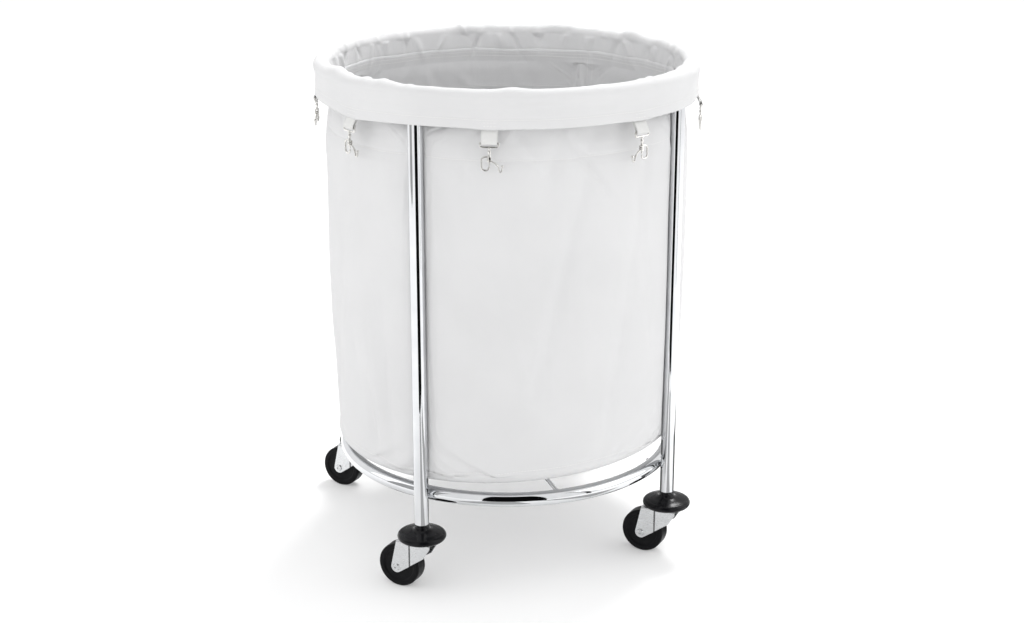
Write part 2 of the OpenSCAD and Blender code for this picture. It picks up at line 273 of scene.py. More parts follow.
class Nodes:
    """Short names for building one node material."""

    def __init__(self, name):
        self.material = bpy.data.materials.new(name)
        self.material.use_nodes = True
        self.tree = self.material.node_tree
        self.shader = self.tree.nodes["Principled BSDF"]
        self.place = self.tree.nodes.new("ShaderNodeTexCoord").outputs["Object"]

    def link(self, source, target):
        """Link a socket, or set the target to a plain value."""
        if isinstance(source, bpy.types.NodeSocket):
            self.tree.links.new(source, target)
        else:
            target.default_value = source

    def node(self, kind, **sockets):
        """A node with its inputs linked or set by name."""
        made = self.tree.nodes.new(kind)
        for key, value in sockets.items():
            self.link(value, made.inputs[key])
        return made

    def stretched(self, scale, source=None):
        """Coordinates scaled along each axis."""
        made = self.node("ShaderNodeMapping", Vector=source or self.place)
        made.inputs["Scale"].default_value = scale
        return made.outputs["Vector"]

    def noise(self, scale, detail=4.0, rough=0.55, where=None):
        """Noise from 0 to 1, with this many grains to a metre."""
        made = self.node("ShaderNodeTexNoise", Vector=where or self.place, Scale=scale,
                         Detail=detail, Roughness=rough)
        return made.outputs["Fac"]

    def ramp(self, source, low, high, start=0.3, end=0.7):
        """A value from low to high as the source goes from start to end."""
        made = self.tree.nodes.new("ShaderNodeMapRange")
        self.link(source, made.inputs["Value"])
        for key, value in (("From Min", start), ("From Max", end),
                           ("To Min", low), ("To Max", high)):
            made.inputs[key].default_value = value
        return made.outputs["Result"]

    def uv_axis(self, axis):
        """One of the UV coordinates, which are in metres: X runs along, Y down."""
        uv = self.tree.nodes.new("ShaderNodeTexCoord").outputs["UV"]
        return self.node("ShaderNodeSeparateXYZ", Vector=uv).outputs[axis]

    def math(self, operation, a, b=0.0):
        """One step of arithmetic."""
        made = self.tree.nodes.new("ShaderNodeMath")
        made.operation = operation
        for socket, value in zip(made.inputs, (a, b)):
            self.link(value, socket)
        return made.outputs["Value"]

    def ridges(self, axis, pitch):
        """A wave along a UV axis, such as a row of threads."""
        return self.math("SINE", self.math("MULTIPLY", self.uv_axis(axis), 2 * math.pi / pitch))

    def colour(self, source, dark, light):
        """Base colour between two tones."""
        made = self.tree.nodes.new("ShaderNodeMix")
        made.data_type = "RGBA"
        self.link(source, made.inputs["Factor"])
        made.inputs["A"].default_value = (*dark, 1)
        made.inputs["B"].default_value = (*light, 1)
        self.link(made.outputs["Result"], self.shader.inputs["Base Color"])

    def rough(self, source):
        """Roughness from a value."""
        self.link(source, self.shader.inputs["Roughness"])

    def bump(self, *layers):
        """Bump from (height, distance in metres) layers, coarse first."""
        normal = None
        for height, distance in layers:
            made = self.tree.nodes.new("ShaderNodeBump")
            made.inputs["Strength"].default_value = 1.0
            made.inputs["Distance"].default_value = distance
            self.link(height, made.inputs["Height"])
            if normal:
                self.link(normal, made.inputs["Normal"])
            normal = made.outputs["Normal"]
        self.link(normal, self.shader.inputs["Normal"])

    def set(self, **sockets):
        """Constant values of the shader; an underscore stands for a space."""
        for key, value in sockets.items():
            self.shader.inputs[key.replace("_", " ")].default_value = value


def canvas(name, tone, pitch):
    """Plain-weave cotton canvas; pitch is the spacing of its threads."""
    m = Nodes(name)
    uv = m.tree.nodes.new("ShaderNodeTexCoord").outputs["UV"]
    weave = m.math("MULTIPLY", m.ridges("X", pitch), m.ridges("Y", pitch))
    slub = m.noise(420, 3, where=m.stretched((1, 14, 1), uv))
    cloud = m.noise(9, 5)
    fibre = m.noise(1500, 4)
    dark = tuple(c * 0.95 for c in tone)
    m.colour(m.ramp(m.math("ADD", cloud, m.math("MULTIPLY", slub, 0.35)), 0, 1, 0.45, 0.85),
             dark, tone)
    m.rough(m.ramp(fibre, 0.82, 0.95))
    m.bump((cloud, 0.6 * MM), (slub, 0.10 * MM), (weave, 0.07 * MM), (fibre, 0.04 * MM))
    m.set(Sheen_Weight=0.25, Sheen_Roughness=0.5, Specular_IOR_Level=0.25)
    return m.material


def webbing(name, tone):
    """Cotton webbing with fine ribs across its width."""
    m = Nodes(name)
    ribs = m.math("MULTIPLY", m.ridges("Y", 1.1 * MM), m.ridges("X", 1.6 * MM))
    fibre = m.noise(1600, 4)
    m.colour(m.ramp(fibre, 0, 1), tuple(c * 0.9 for c in tone), tone)
    m.rough(m.ramp(fibre, 0.8, 0.95))
    m.bump((ribs, 0.12 * MM), (fibre, 0.05 * MM))
    m.set(Sheen_Weight=0.2, Sheen_Roughness=0.5)
    return m.material


def thread(name, tone):
    """Twisted sewing thread."""
    m = Nodes(name)
    fibre = m.noise(2500, 3)
    m.colour(m.ramp(fibre, 0, 1), tuple(c * 0.88 for c in tone), tone)
    m.rough(m.ramp(fibre, 0.55, 0.8))
    m.bump((fibre, 0.06 * MM))
    return m.material


def chrome(name):
    """Bright chromium plating with faint wiping marks."""
    m = Nodes(name)
    smudge = m.noise(18, 5, 0.6)
    hair = m.noise(260, 4, where=m.stretched((1, 1, 0.05)))
    m.colour(m.ramp(smudge, 0, 1), (0.66, 0.67, 0.69), (0.76, 0.77, 0.78))
    m.rough(m.math("ADD", m.ramp(smudge, 0.03, 0.07), m.ramp(hair, 0.0, 0.02, 0.55, 0.75)))
    m.bump((m.noise(30, 2), 0.02 * MM))
    m.set(Metallic=1.0)
    return m.material


def zinc(name):
    """Zinc-plated pressed steel, brushed along its length, with painted shade that darkens its
    colour along the crease.
    """
    m = Nodes(name)
    brushed = m.noise(500, 4, where=m.stretched((0.12, 1, 1)))
    blotch = m.noise(40, 3)
    # Painted shade: the colour goes nearly black along the yoke's pressed crease.
    from_crease = m.math("ABSOLUTE", m.math("SUBTRACT", m.uv_axis("X"), CREASE_X))
    clear_of_painted_shade = m.ramp(from_crease, 0.0, 1.0, 0.4 * MM, 1.8 * MM)
    m.colour(m.math("MULTIPLY", clear_of_painted_shade, m.ramp(blotch, 0.86, 1.0)), (0.08, 0.08, 0.08),
             (0.70, 0.71, 0.72))
    m.rough(m.math("ADD", m.ramp(brushed, 0.20, 0.30), m.ramp(blotch, 0, 0.04)))
    m.bump((brushed, 0.02 * MM))
    m.set(Metallic=1.0)
    return m.material


def hard(name, tones, cloud, grain, rough, relief, dust=0.0, where=None, **constants):
    """A hard material: broad noise clouds its tone and lays dust that dulls it, and fine
    noise grains it. cloud is (scale, detail, roughness, low, high)."""
    m = Nodes(name)
    fine = m.noise(*grain)
    broad = m.noise(*cloud[:3], where=m.stretched(where) if where else None)
    m.colour(m.ramp(broad, 0, 1, *cloud[3:]), *tones)
    m.rough(m.math("ADD", m.ramp(fine, *rough), m.ramp(broad, 0, dust, 0.5, 0.8)))
    m.bump((fine, relief))
    m.set(**constants)
    return m.material


def steel(name):
    """Machined steel screws and nuts."""
    return hard(name, ((0.38, 0.38, 0.40), (0.56, 0.56, 0.58)), (120, 4, 0.55, 0.3, 0.7),
                (900, 3), (0.18, 0.34), 0.015 * MM, Metallic=1.0)


def nickel(name):
    """Nickel-plated die casting, worn warmer where it rubs."""
    return hard(name, ((0.70, 0.69, 0.66), (0.86, 0.85, 0.83)), (160, 4, 0.55, 0.3, 0.7),
                (700, 4), (0.12, 0.28), 0.03 * MM, Metallic=1.0)


def rubber(name):
    """Glossy black moulded bumper with light scuffs."""
    return hard(name, ((0.003, 0.003, 0.004), (0.008, 0.008, 0.009)), (60, 6, 0.7, 0.5, 0.85),
                (800, 4), (0.16, 0.24), 0.02 * MM, dust=0.16, where=(1, 1, 3),
                Specular_IOR_Level=0.2)


def wheel_plastic(name):
    """Black moulded wheel, matt with dust on it."""
    return hard(name, ((0.003, 0.003, 0.004), (0.010, 0.010, 0.010)),
                (90, 6, 0.7, 0.45, 0.85), (1100, 4), (0.30, 0.42), 0.05 * MM, dust=0.2,
                Specular_IOR_Level=0.12)


def nylon(name):
    """Grey moulded nylon."""
    return hard(name, ((0.32, 0.32, 0.33), (0.42, 0.42, 0.43)), (60, 4, 0.55, 0.3, 0.7),
                (900, 4), (0.4, 0.55), 0.03 * MM)


CHROME = chrome("chrome")
ZINC = zinc("zinc")
STEEL = steel("steel")
NICKEL = nickel("nickel")
RUBBER = rubber("bumper_rubber")
WHEEL = wheel_plastic("wheel_plastic")
NYLON = nylon("nylon")
CANVAS = canvas("canvas", (0.665, 0.665, 0.67), 0.9 * MM)
WEBBING = webbing("webbing", (0.70, 0.70, 0.69))
THREAD = thread("thread", (0.80, 0.80, 0.79))


# ------------------------------------------------------------------------- frame


def ring_mesh(radius, height):
    """A closed ring of tube. Its bore is sealed in and left out."""
    a = np.linspace(0, 2 * np.pi, 48, endpoint=False)
    return lathe(np.stack([radius + TUBE_R * np.cos(a), height + TUBE_R * np.sin(a)], 1), 288)


def post_mesh(k):
    """Post tube with its bore, coped to sink a little into the top ring."""
    rows, cols = 140, 64
    sunk = 0.3 * MM
    a = np.linspace(0, 2 * np.pi, cols, endpoint=False)
    ring = np.stack([np.sin(a), -np.cos(a)], 1)
    inner = TUBE_R - TUBE_WALL
    verts = []
    for radius, direction in ((TUBE_R, 1), (inner, -1)):
        x, y = radius * ring[:, 0], radius * ring[:, 1]
        off = np.hypot(x, RING_R - y) - RING_R
        top = RING_Z - np.sqrt(np.maximum(TUBE_R ** 2 - off ** 2, 0)) + sunk
        for t in np.linspace(0, 1, rows)[::direction]:
            z = POST_FOOT_Z + t * (top - POST_FOOT_Z)
            verts.append(np.stack([x, y, z], 1))
    faces, _ = grid(2 * rows, cols, close=True)
    return turned((np.concatenate(verts), faces), spin_z(90 * k, RING_R))


def rod_mesh(angle, height):
    """Cross rod with a bead of weld where it meets the ring."""
    reach = LOW_RING_R - TUBE_R + 1.5 * MM
    end, bead_h, bead_w = 8 * MM, 2.2 * MM, 2.5 * MM
    x = np.concatenate([np.linspace(-reach, -reach + end, 12),
                        np.linspace(-reach + 1.5 * end, reach - 1.5 * end, 60),
                        np.linspace(reach - end, reach, 12)])
    bead = bead_h * np.exp(-((reach - np.abs(x)) / bead_w) ** 2)
    path = np.stack([x, np.zeros_like(x), np.full_like(x, height)], 1)
    return turned(sweep(path, ROD_R + bead, 24), Matrix.Rotation(math.radians(angle), 4, "Z"))


def build_frame():
    """Rings, posts and cross rods, and finished materials for the fasteners."""
    low = piece("lower_ring", *ring_mesh(LOW_RING_R, LOW_RING_Z), "frame", CHROME, "chrome")
    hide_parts("bottom_ring")
    top = piece("rim_ring", *ring_mesh(RING_R, RING_Z), "frame", CHROME, "chrome")
    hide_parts("top_ring")
    for k, side in enumerate(SIDES):
        post = piece(f"post_tube_{side}", *post_mesh(k), "frame", CHROME, "chrome")
        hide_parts(f"post_{side}")
    for name, angle in (("lower", 45), ("upper", -45)):
        rod = piece(f"rod_{name}", *rod_mesh(angle, middle(f"cross_rod_{name}", 2)), "frame",
                    CHROME, "chrome")
        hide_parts(f"cross_rod_{name}")
    for node, material in (("ring_bolts", STEEL), ("ring_nuts", STEEL), ("top_screws", STEEL),
                           ("post_top_plugs", NYLON), ("stem_sockets", NYLON),
                           ("swivel_races", ZINC)):
        repaint(node, material)


def repaint(node, material):
    """Give a CAD node that stays a finished material."""
    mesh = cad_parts[node].data
    mesh.materials.clear()
    mesh.materials.append(material)


# ----------------------------------------------------------------------- casters


def arc(centre, radius, start, end, steps):
    """Points of an arc, angles in degrees."""
    a = np.radians(np.linspace(start, end, steps))
    return np.stack([centre[0] + radius * np.cos(a), centre[1] + radius * np.sin(a)], 1)


def bumper_mesh():
    """Domed disc with a rounded edge and a neck that the post stands on."""
    low, edge = BUMPER_LOW_Z, 4.7 * MM
    rim = BUMPER_R - edge
    neck = TUBE_R + 0.2 * MM
    top = POST_FOOT_Z
    bore = 5 * MM
    dome = smooth_path([[rim, low + 2 * edge], [rim * 0.82, low + 2 * edge + 1.3 * MM],
                        [rim * 0.6, low + 2 * edge + 2.4 * MM],
                        [neck + 3 * MM, low + 2 * edge + 3.6 * MM],
                        [neck + 0.6 * MM, low + 2 * edge + 5.2 * MM]])
    race_r = across("swivel_races", 0) / 2 - RING_R
    profile = np.concatenate([
        [[bore, low], [race_r + 2 * MM, low], [rim - 4 * MM, low + 0.6 * MM]],
        arc((rim, low + edge), edge, -90, 84, 22), dome[1:],
        [[neck, top - 1.2 * MM], [neck - 0.4 * MM, top - 0.2 * MM], [bore, top - 0.2 * MM]]])
    return lathe(profile, 128)


def wheel_mesh():
    """Moulded wheel: rounded tread, a shallow recess in each face and a raised hub."""
    half = 10.5 * MM
    edge = 3 * MM
    bore = 5.5 * MM
    hub = 9 * MM
    web = half - 2.2 * MM
    side = [[bore, HUB_HALF], [hub - 0.6 * MM, HUB_HALF], [hub, HUB_HALF - 0.6 * MM],
            [hub + 0.8 * MM, web + 0.3 * MM], [hub + 1.8 * MM, web],
            [WHEEL_R - 9.5 * MM, web], [WHEEL_R - 8.4 * MM, web + 0.4 * MM],
            [WHEEL_R - 7.6 * MM, half - 0.5 * MM], [WHEEL_R - 6.6 * MM, half]]
    round_edge = arc((WHEEL_R - edge, half - edge), edge, 88, 2, 14)
    upper = np.concatenate([side, round_edge, [[WHEEL_R, half - edge - 0.5 * MM],
                                               [WHEEL_R, 1 * MM]]])
    profile = np.concatenate([upper, (upper * (1, -1))[::-1]])
    return turned(lathe(profile[::-1], 160), Matrix.Rotation(math.radians(90), 4, "X"))


def leg_outline():
    """Side outline of a yoke leg below the bend at the plate, as [x, z] points: the rear
    corner, the round end at the axle, the belly and the front."""
    axle = np.array([WHEEL_X, WHEEL_R])
    end = 8 * MM
    rear = np.array([REAR_X, PLATE_TOP_Z - BEND_R])
    belly = np.array([8 * MM, 48 * MM])
    front = np.array([FRONT_X, PLATE_TOP_Z - 6 * MM])

    def touch(p, side):
        """Angle at which the line from p meets the round end."""
        v = p - axle
        a = math.atan2(v[1], v[0]) + side * math.acos(end / np.linalg.norm(v))
        return math.degrees(a)

    round_end = arc(axle, end, touch(rear, 1), touch(belly, -1) + 360, 26)
    return rear, round_end, belly, front


REAR_X = WHEEL_X - 0.4 * MM
FRONT_X = 17 * MM
BEND_R = 3 * MM
CREASE_HALF = 1.3 * MM
CREASE_DEEP = 0.8 * MM
NOSE_HALF = 10.6 * MM


def leg_y(x):
    """Half width of the yoke's middle surface: straight, then drawn in to the front."""
    wide = YOKE_HALF - SHEET / 2
    t = np.clip((x - CREASE_X) / (FRONT_X - CREASE_X), 0, 1)
    return wide + t * (NOSE_HALF - wide)


def groove(x):
    """Depth of the pressed crease that runs down each leg."""
    return CREASE_DEEP * max(0.0, 1 - abs(x - CREASE_X) / CREASE_HALF)


def yoke_mesh():
    """Pressed yoke as one sheet: two legs, a rounded bend and the top plate."""
    rear, round_end, belly, front = leg_outline()
    top_z = PLATE_TOP_Z - SHEET / 2
    bend = BEND_R - SHEET / 2
    bm = bmesh.new()
    edges = []
    for side in (1, -1):
        def at(x, z, bent=0.0):
            """A corner of the sheet; bent is how far round the bend it lies."""
            y = leg_y(x) - groove(x) * math.cos(bent) - bend * (1 - math.cos(bent))
            return bm.verts.new((x, side * y, z))

        def under(x):
            """Height of the leg's lower edge, which runs straight to the belly."""
            ends = [round_end[-1], belly]
            return np.interp(x, [p[0] for p in ends], [p[1] for p in ends])

        columns = [CREASE_X - CREASE_HALF, CREASE_X, CREASE_X + CREASE_HALF]
        lows = [at(x, under(x)) for x in columns]
        highs = [at(x, PLATE_TOP_Z - BEND_R) for x in columns]
        rear_part = [at(*p) for p in [rear, *round_end]]
        front_part = [at(*p) for p in [belly, front, [FRONT_X, PLATE_TOP_Z - BEND_R]]]
        bm.faces.new(rear_part + [lows[0], highs[0]])
        for i in range(2):
            bm.faces.new([lows[i], lows[i + 1], highs[i + 1], highs[i]])
        bm.faces.new([lows[2]] + front_part + [highs[2]])
        row = [rear_part[0], *highs, front_part[-1]]
        for bent in np.radians([22.5, 45, 67.5, 90]):
            upper = [at(v.co.x, top_z - bend + bend * math.sin(bent), bent) for v in row]
            for i in range(len(row) - 1):
                bm.faces.new([row[i], row[i + 1], upper[i + 1], upper[i]])
            row = upper
        edges.append(row)
    nose = [bm.verts.new((x, y, top_z)) for x, y in nose_points(bend)]
    bm.faces.new(edges[0] + nose + edges[1][::-1])
    bmesh.ops.recalc_face_normals(bm, faces=bm.faces)
    layer = bm.loops.layers.uv.new("sheet")
    for face in bm.faces:
        for corner in face.loops:
            corner[layer].uv = (corner.vert.co.x, corner.vert.co.z)
    mesh = bpy.data.meshes.new("yoke")
    bm.to_mesh(mesh)
    bm.free()
    return mesh


def nose_points(bend):
    """Rounded front end of the plate, from the left bend to the right one."""
    start = leg_y(FRONT_X) - bend
    reach = math.hypot(FRONT_X, start)
    a = np.linspace(math.asin(start / reach), -math.asin(start / reach), 13)[1:-1]
    grow = YOKE_NOSE_X / reach
    t = np.cos(np.linspace(-np.pi / 2, np.pi / 2, 11))
    return [(reach * math.cos(x) * (1 + (grow - 1) * w), reach * math.sin(x))
            for x, w in zip(a, t)]


def build_casters():
    """Bumper, wheel and yoke under each post, and materials for what holds them."""
    yoke_shape = yoke_mesh()
    for k, side in enumerate(SIDES):
        place = Matrix.Translation(post_place(k))
        bumper = piece(f"bumper_disc_{side}", *turned(bumper_mesh(), place), "frame", RUBBER,
                       "bumper_rubber")
        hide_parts(f"bumper_{side}")
        at_axle = place @ Matrix.Translation((WHEEL_X, 0, WHEEL_R))
        wheel = piece(f"wheel_disc_{side}", *turned(wheel_mesh(), at_axle),
                      f"caster_wheel_{side}", WHEEL, "wheel_plastic")
        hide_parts(f"wheel_{side}")
        mesh = yoke_shape.copy()
        mesh.transform(place)
        mesh.materials.append(ZINC)
        yoke = linked(f"yoke_plate_{side}", mesh)
        thicken(yoke, SHEET, even=True, soft_edge=0.35 * MM)
        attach(yoke, f"caster_{side}")
        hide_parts(f"yoke_{side}")
        for node, material in (("stem", ZINC), ("axle", ZINC), ("wheel_bush", NYLON)):
            repaint(f"{node}_{side}", material)


# --------------------------------------------------------------------------- bag

rng = np.random.RandomState(7)
COLS = 576
ANGLES = np.linspace(0, 360, COLS, endpoint=False)
CLOTH = 1.4 * MM
SEAM_Z = 641 * MM
LINING_Z = 588 * MM
BACK_SEAM = 176.5
POST_GAP = 0.4 * MM
SAG = 11 * MM
SAG_AT = 110


def away(angle, centre):
    """Signed difference of two angles in degrees."""
    return (angle - centre + 180) % 360 - 180


def folds(count, width, depth, length, slant, low, high):
    """Random folds between two heights: (angle, height, width, depth, length, slant).
    The width is in degrees, the depth in millimetres outwards."""
    spread = 360 / count
    return [((i + rng.uniform(-0.4, 0.4)) * spread, rng.uniform(low, high),
             rng.uniform(*width), rng.uniform(*depth), rng.uniform(*length),
             rng.uniform(*slant)) for i in range(count)]


def fold_field(angle, z, made):
    """Sum of folds at an angle and a height. A fold is a groove that fades along its
    length and leans by slant degrees per metre."""
    total = np.zeros(np.broadcast(angle, z).shape)
    for centre, height, width, depth, length, slant in made:
        along = (z - height) / length
        d = away(angle, centre + slant * (z - height)) / width
        total += depth * np.exp(-d ** 2) * np.exp(-along ** 2)
    return total


GATHERS = folds(74, (0.6, 1.6), (-4.4, 4.4), (0.010, 0.026), (-150, 150), 0.648, 0.672)
LUMPS = folds(24, (2.2, 6.0), (-1.0, 8.0), (0.014, 0.022), (-60, 60), 0.664, 0.676)
CREASES = folds(54, (0.9, 3.0), (-4.0, 2.4), (0.012, 0.070), (-190, 190), 0.56, 0.640)
SAGS = folds(34, (1.6, 5.5), (-5.0, 2.8), (0.05, 0.22), (-60, 60), 0.18, 0.52)
RIPPLES = folds(26, (1.6, 4.5), (-1.0, 1.3), (0.02, 0.05), (-60, 60), 0.63, 0.66)


def seam_shift(angle, z):
    """How far the gathers and creases move the cloth outwards."""
    return (fold_field(angle, z, GATHERS) + fold_field(angle, z, CREASES)) * MM


def ripple(angle, z):
    """How far the skirt of the cuff waves in and out."""
    return fold_field(angle, z, RIPPLES) * MM


def seam_wave(angle):
    """How far the seam inside the cuff runs above or below its mean height."""
    a = np.radians(angle)
    return (1.3 * np.sin(3 * a + 0.4) + 0.9 * np.sin(8 * a + 1.7) + 0.6 * np.sin(17 * a)) * MM


# Outer radius of the wall at heights above its lower edge, between two posts.
WALL_Z = np.array([0.0, 2, 7, 16, 34, 60, 110, 165, 240, 400, 432, 462, 484, 500]) * MM
WALL_OUT = np.array([228.5, 231.5, 236, 239.5, 241.5, 242.5, 244, 247, 248, 248, 247, 242.5,
                     236.8, 234.2]) * MM


def bottom_z(angle):
    """Height of the bag's lower edge, which hangs lower on the left."""
    return BAG_LOW_Z - 1 * MM + SAG * np.cos(np.radians(angle - SAG_AT))


def from_post(angle):
    """Angle to the nearest post."""
    return np.abs(away(angle, 90 * np.round(angle / 90)))


def wall_radius(angle, z):
    """Radius of the bag wall's outer face: full between the posts, pressed in by them."""
    t = (z - bottom_z(angle)) / (SEAM_Z - bottom_z(angle)) * WALL_Z[-1]
    full = np.interp(t, WALL_Z, WALL_OUT)
    to_post = from_post(angle)
    pressed = RING_R - TUBE_R - POST_GAP
    dent = 0.55 * np.exp(-(to_post / 3.6) ** 2) + 0.45 * np.exp(-(to_post / 9) ** 2)
    return np.where(full > pressed, full + (pressed - full) * dent, full)


def cloth_points(angle, radius, z):
    """Points from angles in degrees, radii and heights."""
    a, radius, z = np.broadcast_arrays(np.radians(angle), radius, z)
    return np.stack([radius * np.sin(a), -radius * np.cos(a), z], -1)


def uv_of(corners, along, down):
    """UVs in metres for a wrapped grid: along is the girth, down the arc of each row."""
    step = along / COLS
    return [(c * step, down[min(r, len(down) - 1)]) for face in corners for r, c in face]


def line_groove(z):
    """Shallow groove where the lining's seam runs round the wall."""
    return 0.6 * MM * np.exp(-((z - LINING_Z) / (2.2 * MM)) ** 2)


def wall_shape():
    """Points of the bag wall, row by row from the bottom edge up to the seam."""
    hem, top = 0.04, 0.80
    t = np.concatenate([np.linspace(0, hem, 10)[:-1], np.linspace(hem, top, 110)[:-1],
                        np.linspace(top, 1, 62)])
    angle, tt = np.meshgrid(ANGLES, t)
    low = bottom_z(angle)
    z = low + tt * (SEAM_Z + 3 * MM - low)
    radius = wall_radius(angle, z) - CLOTH / 2
    fade = np.clip((z - low) / (30 * MM), 0, 1)
    shift = seam_shift(angle, z) + fold_field(angle, z, SAGS) * MM
    free = 1 - np.exp(-(from_post(angle) / 5) ** 2)
    shift = np.minimum(shift, 0) + np.maximum(shift, 0) * free
    tuck = 1.6 * MM * np.clip((z - SEAM_Z) / (3 * MM), 0, 1) ** 2
    wave = seam_wave(angle) * np.clip((z - LINING_Z) / (SEAM_Z - LINING_Z), 0, 1) ** 2
    lap = 0.7 * MM * np.exp(-(away(angle, BACK_SEAM) / 1.6) ** 6)
    radius = radius + shift * fade + tuck + lap - line_groove(z)
    return cloth_points(angle, radius, z + wave), t


def floor_shape(edge):
    """Points of the round base, from the wall's lower edge in to the middle."""
    rings = np.linspace(1, 0.02, 60)
    middle_z = BAG_LOW_Z - 8 * MM
    rows = []
    for r in rings:
        row = edge * [r, r, 1]
        lift = edge[:, 2] - middle_z
        row[:, 2] = middle_z + lift * r ** 3 + 1.2 * MM * (1 - r) * np.sin(
            5 * np.radians(ANGLES) + 9 * r)
        rows.append(row)
    return np.array(rows)


def blurred(values, axis, reach):
    """Values averaged with their neighbours along an axis, with bell-shaped weights."""
    steps = range(-reach, reach + 1)
    weights = [math.exp(-(2 * k / reach) ** 2) for k in steps]
    total = sum(w * np.roll(values, k, axis) for w, k in zip(weights, steps))
    return total / sum(weights)


def clear_of_posts(points):
    """Points of the wall drawn in to where the posts leave room for the cloth, together
    with their neighbours."""
    gap = TUBE_R + CLOTH / 2 + 0.2 * MM
    x, y = points[..., 0], points[..., 1]
    angle = np.degrees(np.arctan2(x, -y))
    turn = np.radians(from_post(angle))
    side = RING_R * np.sin(turn)
    room = np.sqrt(np.maximum(gap ** 2 - side ** 2, 0))
    limit = np.where(np.abs(side) < gap, RING_R * np.cos(turn) - room, np.inf)
    radius = np.hypot(x, y)
    need = np.maximum(0, radius - limit)
    push = np.maximum(need, blurred(blurred(need, 1, 12), 0, 5))
    shrink = 1 - push / radius
    return points * np.stack([shrink, shrink, np.ones_like(shrink)], -1)


def clear_of_ring(points):
    """Points of the cuff moved off to where the top ring leaves room for the cloth."""
    gap = TUBE_R + CLOTH / 2 + 0.1 * MM
    radius = np.hypot(points[..., 0], points[..., 1])
    out, up = radius - RING_R, points[..., 2] - RING_Z
    grow = np.maximum(1, gap / np.hypot(out, up))
    scale = (RING_R + out * grow) / radius
    return np.stack([points[..., 0] * scale, points[..., 1] * scale, RING_Z + up * grow], -1)


def collider(name, part):
    """A hard shape that the cloth rests against while it settles."""
    mesh = bpy.data.meshes.new(name)
    mesh.from_pydata([tuple(v) for v in part[0]], [], part[1])
    obj = linked(name, mesh)
    obj.modifiers.new("hard", "COLLISION")
    obj.collision.thickness_outer = 0.8 * MM
    obj.collision.thickness_inner = 4 * MM
    return obj


# A negative shrink lets the cloth grow a little, so that it creases as it hangs.
CANVAS_CLOTH = {"quality": 5, "mass": 0.25, "tension_stiffness": 18,
                "compression_stiffness": 12, "shear_stiffness": 6, "bending_stiffness": 1.2,
                "air_damping": 3, "vertex_group_mass": "held", "shrink_min": -0.012,
                "shrink_max": -0.012}


def settle(obj, held, frames, reach):
    """Points of a sheet after it has hung and creased for some frames with some of its
    points held. Each point stays within reach of where it started."""
    start = np.array([v.co for v in obj.data.vertices], float)
    group = obj.vertex_groups.new(name="held")
    group.add([int(n) for n in np.flatnonzero(held)], 1.0, "ADD")
    radius = TUBE_R + 0.2 * MM
    shaft = lathe([[radius, LOW_RING_Z], [radius, RING_Z]], 20, closed=False)
    posts = [collider(f"hard_post_{k}", turned(shaft, Matrix.Translation(post_place(k))))
             for k in range(4)]
    cloth = obj.modifiers.new("cloth", "CLOTH")
    for key, value in CANVAS_CLOTH.items():
        setattr(cloth.settings, key, value)
    cloth.collision_settings.distance_min = 0.8 * MM
    cloth.collision_settings.use_self_collision = False
    cloth.point_cache.frame_start = 1
    cloth.point_cache.frame_end = frames
    scene = bpy.context.scene
    for f in range(1, frames + 1):
        scene.frame_set(f)
    graph = bpy.context.evaluated_depsgraph_get()
    end = np.array([v.co for v in obj.evaluated_get(graph).data.vertices], float)
    obj.modifiers.clear()
    scene.frame_set(1)
    for post in posts:
        bpy.data.objects.remove(post)
    moved = end - start
    far = np.linalg.norm(moved, axis=1)
    moved *= (reach * np.tanh(far / reach) / np.maximum(far, 1e-9))[:, None]
    obj.vertex_groups.clear()
    return start + moved


def build_bag():
    """The wall, which is left to settle, and the base. Gives the wall's points."""
    shape, t = wall_shape()
    faces, corners = grid(len(t), COLS)
    girth = 2 * math.pi * BAG_R
    wall = piece("bag_wall", shape.reshape(-1, 3), faces, "bag", CANVAS, "canvas",
                 uv_of(corners, girth, t * (SEAM_Z - BAG_LOW_Z)))
    low_held, top_held = 6, 13
    rows = np.repeat(np.arange(len(t)), COLS)
    held = (rows < low_held) | (rows >= len(t) - top_held)
    shape = settle(wall, held, frames=22, reach=5 * MM).reshape(shape.shape)
    shape = clear_of_posts(shape)
    wall.data.vertices.foreach_set("co", shape.ravel())
    wall.data.update()
    thicken(wall, CLOTH)
    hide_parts("bag_body")
    lift, inset = 1 * MM, 1.5 * MM
    edge = shape[2] * (1 - inset / BAG_R, 1 - inset / BAG_R, 1) + (0, 0, lift)
    base = floor_shape(edge)
    faces, corners = grid(len(base), COLS)
    uvs = [tuple(base[r, c % COLS, :2]) for face in corners for r, c in face]
    faces = faces + [tuple(range((len(base) - 1) * COLS, len(base) * COLS))]
    uvs += [tuple(p[:2]) for p in base[-1]]
    floor = piece("bag_base", base.reshape(-1, 3), faces, "bag", CANVAS, "canvas", uvs)
    thicken(floor, CLOTH)
    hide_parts("bag_floor")
    return shape


# ---------------------------------------------------------------------- stitches


def stitch():
    """One stitch along X, a little over two and a half millimetres long, with round ends."""
    path, radii = round_tip(np.array([[-1.0, 0, 0], [0, 0, 0.05], [1.0, 0, 0]]) * MM,
                            0.32 * MM, 2)
    return sweep(path, radii, 6)


def along(points, pitch, closed=False):
    """Places at an even pitch along a line of points, with the direction at each."""
    p = np.asarray(points, float)
    if closed:
        p = np.vstack([p, p[:1]])
    d = np.linalg.norm(np.diff(p, axis=0), axis=1)
    run = np.concatenate([[0], np.cumsum(d)])
    count = max(int(run[-1] / pitch), 1)
    at = (np.arange(count) + 0.5) * run[-1] / count
    back, places, ahead = (
        np.stack([np.interp(at + step, run, p[:, k]) for k in range(3)], 1)
        for step in (-pitch / 3, 0, pitch / 3))
    t = ahead - back
    return places, t / np.linalg.norm(t, axis=1)[:, None]


